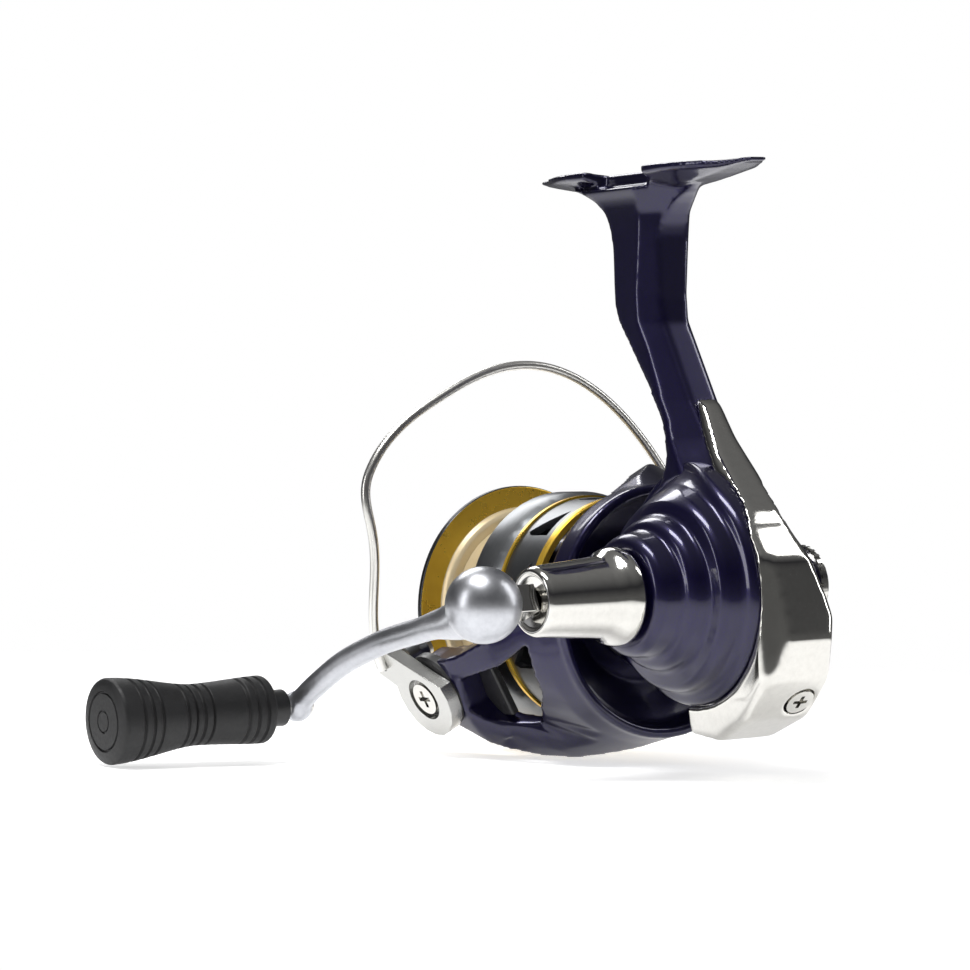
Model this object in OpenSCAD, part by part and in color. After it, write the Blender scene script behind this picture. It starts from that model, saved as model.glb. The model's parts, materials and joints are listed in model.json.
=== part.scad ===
// Front-drag spinning reel, size 2500. Millimetres.
// +X points forward to the spool, +Y to the crank side, +Z up to the rod.
// The origin is the middle of the flat land on top of the foot.

/* [Foot and stem] */
// Length of the foot
foot_len = 65; // [58:1:72]
// Greatest width of the foot
foot_w = 17; // [14:0.5:20]
// Thickness of the foot along its middle
foot_t = 2.8; // [2.2:0.1:4]
// Height of the foot's side edges above its flat land
foot_rise = 1.2; // [0.6:0.1:2]
// Width of the flat land
foot_land = 6; // [4:0.5:8]
// Height of the foot above the spool axis
axis_drop = 77; // [68:1:90]
// Width of the stem across the reel
stem_w = 11; // [9:0.5:14]

/* [Gearbox] */
// Crank axis behind the middle of the foot
handle_back = 22; // [20:0.5:26]
// Crank axis above the spool axis
handle_rise = 4.2; // [4.1:0.1:5]
// Inner radius of the gearbox
box_r = 18.4; // [18.2:0.1:20]
// Wall of the gearbox
wall = 1.2; // [1:0.1:2]
// Inner half width of the gearbox
box_half = 10.5; // [9.5:0.25:12]
// Plane where the side cover meets the frame
split_y = 4; // [3:0.5:6]
// Height of the side cover's crank boss above the spool axis plane
boss_y = 24.4; // [22:0.2:27]

/* [Gears] */
// Teeth on the drive gear
gear_teeth = 37; // [37:1:37]
// Teeth on the pinion
pinion_teeth = 7; // [7:1:7]
// Pitch radius of the pinion
pinion_r = 3; // [2.9:0.05:3.1]
// Thickness of a gear tooth at its pitch line
tooth_t = 1; // [0.7:0.05:1.1]
// Height of a gear tooth above the pitch line
tooth_up = 0.7; // [0.5:0.05:0.8]
// Teeth on the oscillation pinion
osc_pinion_teeth = 12; // [12:1:12]
// Module of the oscillation gears
osc_module = 0.6; // [0.58:0.01:0.62]

/* [Shafts and fits] */
// Radius of the main shaft
shaft_r = 1.5; // [1.3:0.05:1.55]
// Outer radius of the drive gear's hollow shaft
drive_r = 2.4; // [2.2:0.05:2.5]
// Radius of the crank shaft
crank_r = 1.5; // [1.2:0.05:1.6]
// Radial clearance of a running fit
run = 0.05; // [0.03:0.01:0.08]
// Half of the spool's fore and aft travel
half_stroke = 4.5; // [3.5:0.25:4.5]

/* [Crank] */
// Crank radius, from the crank axis to the knob axis
crank_len = 51; // [45:1:56]
// Fall of the arm below level, in degrees
crank_fall = 20.6; // [15:0.2:30]
// Distance of the crank's ball from the spool axis plane
ball_y = 52.7; // [50:0.5:56]
// Radius of the crank's ball
ball_r = 6.5; // [6:0.1:7]
// Outer end of the crank sleeve
sleeve_end = 43.3; // [41:0.1:45]
// Base radius of the crank sleeve
sleeve_r = 8.5; // [7.5:0.1:9]
// Inner end of the knob
knob_in = 67.2; // [65:0.1:69]
// Length of the knob
knob_len = 31.4; // [28:0.2:36]
// Radius of the knob at its outer end
knob_r = 7.4; // [6.5:0.1:8.5]

/* [Spool] */
// Radius of the spool's front lip
lip_r = 22.5; // [21:0.1:23]
// Front face of the lip ahead of the middle of the foot
lip_x = 44.6; // [43:0.2:47]
// Radius of the line arbor
arbor_r = 16; // [14:0.1:17]
// Outer radius of the skirt
skirt_r = 21.3; // [20.8:0.1:21.6]
// Inner radius of the skirt
skirt_in = 18.8; // [18.6:0.1:19]
// Rear end of the skirt
skirt_x = 10.5; // [10.2:0.1:12]

/* [Rotor and bail] */
// Radius of the rotor's rear rim
rotor_r = 22.6; // [22:0.1:23.4]
// Rear edge of the rotor
rotor_x = -1.3; // [-1.6:0.1:-1]
// Turn of the bail axis below level, in degrees
bail_turn = 26; // [20:1:32]
// Bail axis ahead of the middle of the foot
bail_x = 31; // [30:0.2:32]
// Outer face of the rotor arms, from the spool axis
arm_out = 31; // [30.5:0.1:31.5]
// Inner face of the rotor arms, from the spool axis
arm_in = 25; // [24.6:0.1:26]
// Half span of the bail wire
bail_half = 34.3; // [34:0.1:35]
// Depth of the bail wire
bail_deep = 45; // [42:0.5:50]
// Lean of the closed bail from straight ahead, in degrees
bail_lean = 84.5; // [75:0.5:90]
// Diameter of the bail wire
wire_d = 1.4; // [1.2:0.1:2]

/* [Hidden] */

$fn = 64;
eps = 0.01;
handle_x = -handle_back;
shell_r = box_r + wall;
cover_y = box_half + wall + 1.3;
gear_ratio = gear_teeth / pinion_teeth;
mesh_x = pinion_r * gear_ratio;
tooth_len = 2.6;
gear_in = mesh_x - tooth_len / 2;
gear_out = mesh_x + tooth_len / 2;
gear_rim = sqrt(gear_out * gear_out + handle_rise * handle_rise);
tooth_root_y = pinion_r + 0.85;
gear_t = 3.2;
osc_pinion_r = osc_module * osc_pinion_teeth / 2;
osc_teeth = 1.5 * osc_pinion_teeth;
osc_r = osc_module * osc_teeth / 2;
osc_x = handle_x - 2;
osc_z = handle_rise - sqrt(pow(osc_pinion_r + osc_r, 2) - pow(osc_x - handle_x, 2));
osc_y0 = -6;
osc_y1 = -4.2;
osc_pin_r = 1.1;
bearing_r = 6;
bearing_w = 4;
pinion_bore_r = 2.2;
pinion_journal_r = 3;
pinion_back = handle_x + gear_in - 5;
neck_x1 = 1;
neck_r = 11.5;
clutch_r = 9;
clutch_x0 = neck_x1;
clutch_x1 = 7;
hub_x0 = 7.6;
hub_x1 = 10.4;
nut_x1 = 13.4;
rotor_in_r = 17.8;
rotor_in_x = 17;
drive_bearing_r = 5.5;
left_bearing_y = 20;
right_bearing_y = -box_half - 1.2;
cap_y = -15.8;
shaft_x0 = osc_x - 3.2;
shaft_x1 = 55;
guide_z = -8.2;
guide_r = 1;
slider_w = 6;
slider_y0 = -3;
slider_y1 = 1.9;
slider_z0 = -9.8;
slider_z1 = 1.55;
knob_x = handle_x + crank_len * cos(crank_fall);
knob_z = handle_rise - crank_len * sin(crank_fall);
knob_end = knob_in + knob_len;
post_r = 2;
groove_x0 = 29;
lip_t = 1.6;
web_t = 1.5;
spool_bore_r = shaft_r + run;
spool_hub_r = 5.5;
spool_hub_x0 = 21.2;
drag_r = 10.5;
drag_x0 = 34;
drag_knob_r = 12.5;
drag_knob_x0 = lip_x - 2.2;
drag_knob_x1 = 56.5;
pivot_r = 6.2;
lever_t = 2.6;
lever_in = arm_out + 0.2;
tip_x = 7.5;
tip_e = 6.2;
roller_r = 3;
roller_len = 5.2;

navy = [0.10, 0.10, 0.24];
chrome = [0.78, 0.78, 0.76];
satin = [0.66, 0.67, 0.70];
gold = [0.86, 0.66, 0.16];
steel = [0.60, 0.60, 0.60];
black = [0.08, 0.08, 0.09];
brass = [0.72, 0.58, 0.28];
grey = [0.45, 0.46, 0.48];

// ---------- shared helpers ----------

module on_axis() { translate([0, 0, -axis_drop]) children(); }

module rod_x(x0, x1, r) {
    translate([x0, 0, 0]) rotate([0, 90, 0]) cylinder(h = x1 - x0, r = r);
}

module tube_x(x0, x1, r_out, r_in) {
    difference() {
        rod_x(x0, x1, r_out);
        rod_x(x0 - 1, x1 + 1, r_in);
    }
}

module rod_y(y0, y1, r) {
    translate([handle_x, y0, handle_rise]) rotate([-90, 0, 0]) cylinder(h = y1 - y0, r = r);
}

module tube_y(y0, y1, r_out, r_in) {
    difference() {
        rod_y(y0, y1, r_out);
        rod_y(y0 - 1, y1 + 1, r_in);
    }
}

// Turned about the spool axis from [x, radius] points
module lathe_x(points) {
    rotate([0, 90, 0]) rotate_extrude() polygon([for (p = points) [p[1], p[0]]]);
}

// Turned about the crank axis from [y, radius] points
module lathe_y(points) {
    translate([handle_x, 0, handle_rise]) rotate([-90, 0, 0])
        rotate_extrude() polygon([for (p = points) [p[1], p[0]]]);
}

// An outline in the XZ plane, y0 to y1 thick
module slab_y(y0, y1, points) {
    translate([0, y1, 0]) rotate([90, 0, 0]) linear_extrude(y1 - y0) polygon(points);
}

// An outline in the YZ plane, x0 to x1 thick
module slab_x(x0, x1, points) {
    translate([x0, 0, 0]) rotate([90, 0, 90]) linear_extrude(x1 - x0) polygon(points);
}

function bezier(a, b, c, d, n) = [
    for (i = [0:n - 1])
        let (t = i / n, u = 1 - t)
        u * u * u * a + 3 * u * u * t * b + 3 * u * t * t * c + t * t * t * d
];

function toward(p, c, d) = p - d * (p - c) / norm(p - c);

// A toothed wheel outline with flat-sided teeth
module toothed(count, r_root, r_tip, t_root, t_tip) {
    union() {
        circle(r = r_root);
        for (i = [0:count - 1]) rotate(360 * (i + 0.5) / count)
            polygon([
                [r_root - 0.3, -t_root / 2], [r_tip, -t_tip / 2],
                [r_tip, t_tip / 2], [r_root - 0.3, t_root / 2]
            ]);
    }
}

// A Phillips screw along +Z: shank below zero, pan head above
module screw(shank_r, shank, head_r, head_h) {
    difference() {
        union() {
            translate([0, 0, -shank]) cylinder(h = shank, r = shank_r);
            cylinder(h = head_h, r = head_r);
        }
        translate([-head_r * 0.55, -head_r * 0.14, head_h * 0.4])
            cube([head_r * 1.1, head_r * 0.28, head_h]);
        translate([-head_r * 0.14, -head_r * 0.55, head_h * 0.4])
            cube([head_r * 0.28, head_r * 1.1, head_h]);
    }
}

// ---------- frame: foot, stem and gearbox ----------

foot_end = foot_len / 2;
foot_half = foot_w / 2;
waist = stem_w / 2 - 0.6;

function foot_plan(s) = concat(
    [[-8, s * waist], [-10, s * foot_half]],
    bezier([-14, s * foot_half], [-22, s * foot_half], [-26, s * 4.6], [-foot_end, s * 1.8], 8),
    [[-foot_end, s * 1.8]]
);

module foot() {
    rear = foot_plan(1);
    front = [for (p = foot_plan(1)) [-p[0] - 3, p[1]]];
    half = concat(
        [for (i = [len(rear) - 1:-1:0]) rear[i]],
        [for (p = front) [min(p[0], foot_end), p[1]]]
    );
    other = [for (i = [len(half) - 1:-1:0]) [half[i][0], -half[i][1]]];
    intersection() {
        translate([0, 0, -foot_t - 1]) linear_extrude(foot_t + 6) polygon(concat(half, other));
        slab_x(-foot_len, foot_len, [
            [-foot_half, foot_rise], [-foot_land / 2, 0], [foot_land / 2, 0], [foot_half, foot_rise],
            [foot_half, foot_rise - 1.5], [foot_land / 2, -foot_t],
            [-foot_land / 2, -foot_t], [-foot_half, foot_rise - 1.5]
        ]);
    }
}

stem_top = axis_drop - foot_t + 0.6;
stem_front = concat(
    bezier([13, stem_top], [7, stem_top - 1], [3.2, stem_top - 4], [3.2, stem_top - 12], 8),
    bezier([3.2, stem_top - 12], [3.4, stem_top - 18], [3.7, 53], [1.1, 49.8], 10),
    bezier([1.1, 49.8], [-3, 43.6], [-10.5, 35], [-12.2, 28.6], 10),
    [[-12.5, 26.6], [-11.6, 23], [-9.6, 21], [-8, 12]]
);
stem_back = concat(
    bezier([-19, stem_top], [-12, stem_top - 1], [-7.6, stem_top - 4], [-7.2, stem_top - 12], 8),
    [[-7.1, 54.8], [-7.6, 50.8], [-10.6, 44.9], [-14.8, 36.9], [-19, 30.3], [-23, 26], [-31, 18]]
);
// Outer limit of the casting and rear cover, seen along a line 34 degrees off the spool axis
flank = [
    [-15, 80], [-9.2, 74.5], [-7.4, 70], [-6.4, 56], [-6.5, 51], [-8.4, 44.9], [-10.7, 36.9], [-13.1, 30.3],
    [-15.4, 25.9], [-20.2, 16.2], [-23.7, 9.9], [-26.4, 3], [-27.4, -0.5], [-26.9, -5.8], [-26.4, -11.1],
    [-22.9, -17.6], [-16.6, -21.5], [-8.3, -23]
];

module flank_limit(d, side) {
    mirror([0, side > 0 ? 1 : 0, 0]) rotate([0, 0, 55.8])
        slab_y(-90, 90, concat([for (p = flank) [p[0] + d, p[1]]], [[90, -23], [90, 80]]));
}

module stem() {
    outline = concat(stem_front, [for (i = [len(stem_back) - 1:-1:0]) stem_back[i]]);
    half = stem_w / 2;
    flare = concat(
        [[half + 4, 10], [half + 2.5, 22], [half + 0.6, 34], [half, 46], [half, stem_top - 12]],
        bezier([half, stem_top - 8], [half, stem_top - 3], [half + 1, stem_top - 1], [half + 2.2, stem_top], 5),
        [[half + 2.2, stem_top + 1]]
    );
    other = [for (i = [len(flare) - 1:-1:0]) [-flare[i][0], flare[i][1]]];
    intersection() {
        slab_y(-half - 5, half + 5, outline);
        slab_x(-60, 40, concat(flare, other));
        flank_limit(0, -1);
        flank_limit(0, 1);
    }
}

module gearbox_space() {
    lathe_y([
        [-box_half, 0], [-box_half, box_r - 8], [-7, box_r - 2.8], [-3.6, box_r - 0.8],
        [0, box_r], [cover_y + 5, box_r], [cover_y + 5, 0]
    ]);
}

module gearbox_shell(d) {
    lathe_y([
        [-box_half - wall - d, 0], [-box_half - wall - d, box_r - 7.4 + d], [-7.4, box_r - 1.4 + d],
        [-3.8, box_r + 0.5 + d], [0, shell_r + d], [split_y, shell_r + d], [split_y, 0]
    ]);
}

module housing() {
    color(navy) {
        foot();
        on_axis() difference() {
            union() {
                stem();
                intersection() {
                    gearbox_shell(0);
                    flank_limit(0.7, -1);
                }
                rod_x(-10, neck_x1, neck_r);
                rod_y(right_bearing_y - 1, 0, drive_bearing_r + 1.4);
            }
            difference() {
                intersection() {
                    gearbox_space();
                    flank_limit(2, -1);
                }
                // web that holds the pinion's rear bush
                translate([pinion_back + 0.2, -box_half - 1, -4.6]) cube([3.2, box_half + 2.8, 9.2]);
                // post that holds the front end of the guide rod
                translate([osc_x + 10.4, -box_half - 1, guide_z - 2.2]) cube([2.2, box_half + 2.8, 4.4]);
                // post that holds its rear end
                translate([osc_x - 11.6, -box_half - 1, guide_z - 2.2]) cube([2.2, box_half + 2.8, 4.4]);
                // journal of the oscillation gear
                translate([osc_x, -box_half - 1, osc_z]) rotate([-90, 0, 0])
                    cylinder(h = box_half + 1 + osc_y0 - 0.2, r = 3);
            }
            rod_y(split_y, cover_y + 5, shell_r + 0.4);
            rod_x(neck_x1 - bearing_w - 1.4, neck_x1 - 0.58, bearing_r + 0.02);
            rod_x(-20, 10, 4.4);
            rod_x(pinion_back - 5, pinion_back + 5, 3.4);
            translate([0, 0.2, guide_z]) rod_x(osc_x - 10.8, osc_x + 12, guide_r);
            rod_y(right_bearing_y, 0, drive_bearing_r + 0.02);
            rod_y(right_bearing_y - 5, 0, 3.6);
            translate([osc_x, osc_y0 - 3.2, osc_z]) rotate([-90, 0, 0]) cylinder(h = 4, r = 1.5 + run);
            for (p = clutch_screw_places()) translate([-4, p[0], p[1]])
                rotate([0, 90, 0]) cylinder(h = 8, r = 0.7);
        }
    }
}

function clutch_screw_places() = [for (a = [90, 210, 330]) [7.6 * cos(a), 7.6 * sin(a)]];

// ---------- side cover with its stepped crank boss ----------

module side_cover() {
    color(navy) on_axis() difference() {
        lathe_y([
            [split_y, 0], [split_y, shell_r], [cover_y - 1.6, shell_r], [cover_y - 0.6, shell_r - 0.6],
            [cover_y, shell_r - 2], [cover_y + 0.2, 15.9], [cover_y + 3.4, 15.5], [cover_y + 4, 14.8],
            [cover_y + 4.2, 13.2], [cover_y + 6.6, 12.8], [cover_y + 7.2, 12.2], [cover_y + 7.4, 9.8],
            [boss_y - 0.4, 9.5], [boss_y, 9], [boss_y, 0]
        ]);
        lathe_y([
            [split_y - 1, 0], [split_y - 1, box_r], [box_half, box_r], [box_half + 1.8, 13.6],
            [left_bearing_y - 3.4, 10.8], [left_bearing_y - 1.2, 8], [left_bearing_y - 1.2, 0]
        ]);
        rod_y(left_bearing_y - 2, left_bearing_y + bearing_w - 1, drive_bearing_r);
        rod_y(left_bearing_y, boss_y + 1, 4.2);
        rod_x(-12, neck_x1 + 1, neck_r + 0.1);
        translate(side_screw_place()) rotate([-90, 0, 0]) cylinder(h = 9, r = 2.2, center = true);
    }
}

function side_screw_place() = [handle_x + 4, cover_y + 4.2, handle_rise + 11.6];

module side_screw() {
    color(steel) on_axis() translate(side_screw_place() + [0, -4.5, 0])
        rotate([-90, 0, 0]) screw(1, 4, 2.05, 1.4);
}

// ---------- chrome rear cover ----------

box_c = [handle_x, handle_rise];
cover_back = [
    [-15.2, 37.2], [-17.8, 36], [-24.6, 27.6], [-36.6, 18.2], [-42.9, 9.5], [-44.6, -4],
    [-42.6, -10.6], [-36.6, -17.2], [-28, -21.2], [-20.4, -20.2]
];
cover_side = [
    [2, 40], [2.2, 37], [4.4, 30], [6.5, 24], [10.6, 14], [10.7, 4], [10.7, -14], [9.5, -22]
];
cover_plan = [[-50, 3], [-45, 5.4], [-42.9, 8], [-42, 11.5], [-30, 13.2], [0, 13.2]];

function mirrored(points) = concat(points, [
    for (i = [len(points) - 1:-1:0]) [-points[i][0], points[i][1]]
]);
function mirrored_y(points) = concat(points, [
    for (i = [len(points) - 1:-1:0]) [points[i][0], -points[i][1]]
]);

module cover_shape(d) {
    back = [for (p = cover_back) toward(p, box_c, d)];
    side = [for (p = cover_side) [p[0] - d, p[1]]];
    plan = [for (p = cover_plan) [p[0] + d, p[1] - d]];
    intersection() {
        slab_y(-20, 20, concat(back, [[-20, -10], [-14.5, 16], [-12, 30]]));
        slab_x(-60, 0, mirrored(side));
        translate([0, 0, -40]) linear_extrude(90) polygon(mirrored_y(plan));
        flank_limit(d, -1);
    }
}

cover_screw_tilt = 45;
cover_screw_place = [-38.6, 0, -14.9];

module rear_cover() {
    color(chrome) on_axis() difference() {
        cover_shape(0);
        cover_shape(1.5);
        gearbox_shell(0.1);
        rod_y(-20, 20, 13);
        rod_y(split_y - 1, 20, shell_r + 0.15);
        rod_x(-12, 5, neck_r + 0.1);
        slab_y(-12, 12, concat([for (i = [len(stem_back) - 1:-1:0]) stem_back[i] - [0.15, 0]], [[30, 50], [30, 0]]));
        translate(cover_screw_place) rotate([0, -90 - cover_screw_tilt, 0])
            translate([0, 0, -1.4]) cylinder(h = 6, r = 2.9);
        translate(cover_screw_place) rotate([0, -90 - cover_screw_tilt, 0])
            translate([0, 0, -8]) cylinder(h = 8, r = 1.2);
    }
}

module cover_screws() {
    color(chrome) on_axis() translate(cover_screw_place)
        rotate([0, -90 - cover_screw_tilt, 0]) translate([0, 0, -1.4]) screw(1.15, 2.6, 2.6, 1.3);
}

// ---------- bearings, bushes and the one-way clutch ----------

module ball_bearing_x(x0, r_out, r_in, w) {
    m = (r_out + r_in) / 2;
    union() {
        tube_x(x0, x0 + w, r_out, m + 0.6);
        tube_x(x0, x0 + w, m - 0.6, r_in);
        tube_x(x0 + 0.4, x0 + w - 0.4, m + 0.7, m - 0.7);
    }
}

module drive_bearing_shape(y0, w) {
    m = (drive_bearing_r + 3) / 2;
    union() {
        tube_y(y0, y0 + w, drive_bearing_r, m + 0.5);
        tube_y(y0, y0 + w, m - 0.5, 3 + run);
        tube_y(y0 + 0.4, y0 + w - 0.4, m + 0.6, m - 0.6);
    }
}

module drive_bearing_left() {
    color(steel) on_axis() drive_bearing_shape(left_bearing_y, 3);
}

module drive_bearing_right() {
    color(steel) on_axis() drive_bearing_shape(right_bearing_y, 3);
}

module pinion_bearing() {
    color(steel) on_axis() ball_bearing_x(neck_x1 - bearing_w - 0.6, bearing_r, pinion_journal_r + run, bearing_w);
}

module pinion_bush() {
    color(brass) on_axis() tube_x(pinion_back + 0.2, pinion_back + 3.4, 3.4, pinion_bore_r + run);
}

module clutch_body() {
    color(black) on_axis() difference() {
        rod_x(clutch_x0, clutch_x1, clutch_r);
        rod_x(clutch_x0 - 1, clutch_x1 + 1, 5.6);
        for (p = clutch_screw_places()) translate([0, p[0], p[1]]) rotate([0, 90, 0]) {
            cylinder(h = clutch_x1 + 1, r = 0.8);
            translate([0, 0, clutch_x1 - 0.8]) cylinder(h = 2, r = 1.35);
        }
    }
}

module clutch_screws() {
    color(steel) on_axis() for (p = clutch_screw_places())
        translate([clutch_x1 - 0.8, p[0], p[1]]) rotate([0, 90, 0]) screw(0.68, 8, 1.25, 0.7);
}

module guide_rod() {
    color(steel) on_axis() translate([0, 0.2, guide_z]) rod_x(osc_x - 10.8, osc_x + 12, guide_r);
}

// ---------- drive gear, crank shaft and sleeve ----------

module drive_gear() {
    color(brass) on_axis() difference() {
        union() {
            tube_y(tooth_root_y, tooth_root_y + gear_t, gear_rim, 12.2);
            rod_y(tooth_root_y + 1, tooth_root_y + gear_t - 0.4, 12.6);
            rod_y(right_bearing_y - 1.2, tooth_root_y + 2, drive_r);
            rod_y(right_bearing_y - 1.2, right_bearing_y + 3.6, 3);
            rod_y(tooth_root_y + 2, boss_y - 1, 3);
            for (i = [0:gear_teeth - 1]) translate([handle_x, 0, handle_rise])
                rotate([0, 360 * i / gear_teeth, 0]) translate([gear_in, 0, -handle_rise])
                    slab_x(0, tooth_len, [
                        [tooth_root_y + 0.3, -tooth_t / 2 - 0.25], [pinion_r - tooth_up, -tooth_t / 2 + 0.22],
                        [pinion_r - tooth_up, tooth_t / 2 - 0.22], [tooth_root_y + 0.3, tooth_t / 2 + 0.25]
                    ]);
        }
        rod_y(-20, boss_y + 5, crank_r + 0.05);
    }
}

module oscillation_pinion() {
    color(brass) on_axis() difference() {
        translate([handle_x, osc_y0, handle_rise]) rotate([-90, 0, 0]) linear_extrude(osc_y1 - osc_y0)
            rotate(osc_phase()) toothed(osc_pinion_teeth, osc_pinion_r - 0.55, osc_pinion_r + 0.42, 0.9, 0.3);
        rod_y(-20, 20, drive_r);
    }
}

function osc_phase() = atan2(-(osc_z - handle_rise), osc_x - handle_x);

module oscillation_gear() {
    color(brass) on_axis() translate([osc_x, 0, osc_z]) {
        difference() {
            union() {
                translate([0, osc_y0, 0]) rotate([-90, 0, 0]) linear_extrude(osc_y1 - osc_y0)
                    rotate(osc_phase() + 180 - 180 / osc_teeth)
                        toothed(osc_teeth, osc_r - 0.6, osc_r + 0.4, 0.9, 0.3);
                translate([0, osc_y1 - eps, half_stroke]) rotate([-90, 0, 0])
                    cylinder(h = slider_y0 - 0.2 - osc_y1, r = osc_pin_r);
                translate([0, osc_y0 - 3, 0]) rotate([-90, 0, 0]) cylinder(h = 4, r = 1.5);
            }
        }
    }
}

module crank_shaft() {
    color(chrome) on_axis() {
        rod_y(cap_y + 1.4, sleeve_end + 0.4, crank_r);
        difference() {
            translate([handle_x, 0, handle_rise]) rotate([0, crank_fall, 0])
                union() {
                    translate([-2.6, sleeve_end + 0.2, -2.4]) cube([5.2, ball_y - sleeve_end - 0.2, 4.8]);
                    translate([0, ball_y, -2.4]) cylinder(h = 4.8, r = 2.6);
                }
            translate([handle_x, ball_y, handle_rise]) rotate([0, crank_fall, 0])
                cylinder(h = 20, r = 1 + run, center = true);
        }
    }
}

module crank_sleeve() {
    color(chrome) on_axis() difference() {
        lathe_y(concat(
            [[boss_y + 0.4, crank_r + 0.02], [boss_y + 0.4, sleeve_r - 0.7], [boss_y + 1.1, sleeve_r]],
            [[boss_y + 2.2, sleeve_r]],
            bezier([boss_y + 3, sleeve_r - 0.1], [boss_y + 5, sleeve_r - 0.7],
                [boss_y + 5.4, sleeve_r - 1.5], [boss_y + 8, sleeve_r - 1.7], 6),
            [[sleeve_end - 1.6, 6.1], [sleeve_end - 0.5, 5.9], [sleeve_end, 5.2]],
            [[sleeve_end - 0.5, 4.6], [sleeve_end - 0.5, crank_r + 0.02]]
        ));
        rod_y(boss_y, boss_y + 2.4, 3.4);
    }
}

module sleeve_seal() {
    color(black) on_axis() tube_y(boss_y + 0.4, boss_y + 2.3, 3.38, crank_r + 0.02);
}

module handle_cap() {
    color(chrome) on_axis() difference() {
        union() {
            lathe_y([[cap_y, 0], [cap_y, 5.8], [cap_y + 0.8, 6.6], [cap_y + 2.2, 6.6], [cap_y + 2.6, 6], [cap_y + 2.6, 0]]);
            for (i = [0:29]) translate([handle_x, 0, handle_rise]) rotate([0, 12 * i, 0])
                translate([6, cap_y + 0.95, -0.3]) cube([0.9, 1.1, 0.6]);
        }
        rod_y(cap_y + 1.2, cap_y + 4, crank_r + 0.04);
    }
}

// ---------- crank arm and knob ----------

module at_ball() {
    translate([handle_x, ball_y, handle_rise]) rotate([0, crank_fall, 0]) children();
}

arm_path = concat(
    bezier([3, 0.4], [12, 0.2], [20, 0.2], [30, 3.4], 10),
    bezier([30, 3.4], [38, 6], [44, 7.6], [crank_len, 7.9], 8),
    [[crank_len, 7.9]]
);

function arm_half(u) = u < 12 ? 2.3 + 2.6 * pow(1 - u / 12, 2) : 2.3 - 0.35 * (u - 12) / (crank_len - 12);

module crank_arm() {
    n = len(arm_path);
    color(satin) on_axis() difference() {
        at_ball() union() {
            sphere(r = ball_r);
            intersection() {
                slab_z(-6, 6, concat(
                    [for (p = arm_path) p - [0, arm_half(p[0])]],
                    [for (i = [n - 1:-1:0]) arm_path[i] + [0, arm_half(arm_path[i][0])]]
                ));
                slab_y(-20, 20, concat(
                    [for (p = arm_path) [p[0], -arm_half(p[0]) * 1.12]],
                    [for (i = [n - 1:-1:0]) [arm_path[i][0], arm_half(arm_path[i][0]) * 1.12]]
                ));
            }
            translate([crank_len, 5.2, 0]) rotate([-90, 0, 0]) cylinder(h = 5.4, r = 2.5);
        }
        // slot that lets the neck swing from the back of the ball to its side
        at_ball() translate([-9, -9, -2.7]) cube([11.95, 9, 5.4]);
        at_ball() translate([-9, -9, -2.7]) cube([9, 11.95, 5.4]);
        at_ball() translate([0, 0, -2.7]) cylinder(h = 5.4, r = 2.95);
        at_ball() cylinder(h = 3 * ball_r, r = 1, center = true);
        at_ball() translate([crank_len, 4, 0]) rotate([-90, 0, 0]) cylinder(h = 8, r = post_r - 0.38);
    }
}

module slab_z(z0, z1, points) {
    translate([0, 0, z0]) linear_extrude(z1 - z0) polygon(points);
}

module fold_pin() {
    color(steel) on_axis() at_ball() cylinder(h = 2 * ball_r - 1.2, r = 1, center = true);
}

module at_knob() { translate([knob_x, 0, knob_z]) rotate([-90, 0, 0]) children(); }

module knob_post() {
    color(chrome) on_axis() at_knob() {
        translate([0, 0, ball_y + 5]) cylinder(h = 6, r = post_r - 0.4);
        translate([0, 0, ball_y + 10.6]) cylinder(h = knob_end - 2.6 - ball_y - 10.6, r = post_r);
        translate([0, 0, knob_end - 2.62]) cylinder(h = 1, r = 3);
    }
}

module knob_washer() {
    color(black) on_axis() at_knob() difference() {
        translate([0, 0, ball_y + 10.7]) cylinder(h = knob_in - ball_y - 10.9, r = 3.2);
        cylinder(h = 200, r = post_r + 0.02);
    }
}

module knob_bushes() {
    color(brass) on_axis() at_knob() difference() {
        union() {
            translate([0, 0, knob_in + 0.4]) cylinder(h = 3, r = 3.4);
            translate([0, 0, knob_end - 7]) cylinder(h = 3, r = 3.4);
        }
        cylinder(h = 200, r = post_r + run);
    }
}

knob_waist = knob_r - 2.1;
knob_neck = knob_r - 1.5;
function knob_radius(t) =
    t < 0.45 ? knob_waist + (knob_neck - knob_waist) * pow(cos(180 * t / 0.9), 2)
    : knob_waist + (knob_r - knob_waist) * pow(sin(90 * (t - 0.45) / 0.55), 1.6);

module knob_grip() {
    rings = 14;
    color(black) on_axis() at_knob() difference() {
        rotate_extrude() polygon(concat(
            [[3.4, knob_in + 0.3], [knob_neck - 0.6, knob_in]],
            [for (i = [0:rings]) let (t = i / rings) [knob_radius(t), knob_in + 0.6 + t * (knob_len - 1.8)]],
            [[knob_r - 0.9, knob_end], [3.4, knob_end]]
        ));
        translate([0, 0, knob_in + 3.5]) cylinder(h = knob_len - 10.6, r = 3);
        translate([0, 0, knob_end - 7.1]) cylinder(h = 7, r = 3.4);
        translate([0, 0, knob_in + 0.2]) cylinder(h = 3.3, r = 3.4);
        translate([0, 0, knob_end - 1]) cylinder(h = 2, r = 5.2);
    }
}

module knob_cap() {
    color(black) on_axis() at_knob() translate([0, 0, knob_end - 0.95]) cylinder(h = 0.95, r = 5.15);
}

// ---------- main shaft and slider ----------

module main_shaft() {
    color(steel) on_axis() rod_x(shaft_x0, shaft_x1, shaft_r);
}

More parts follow.
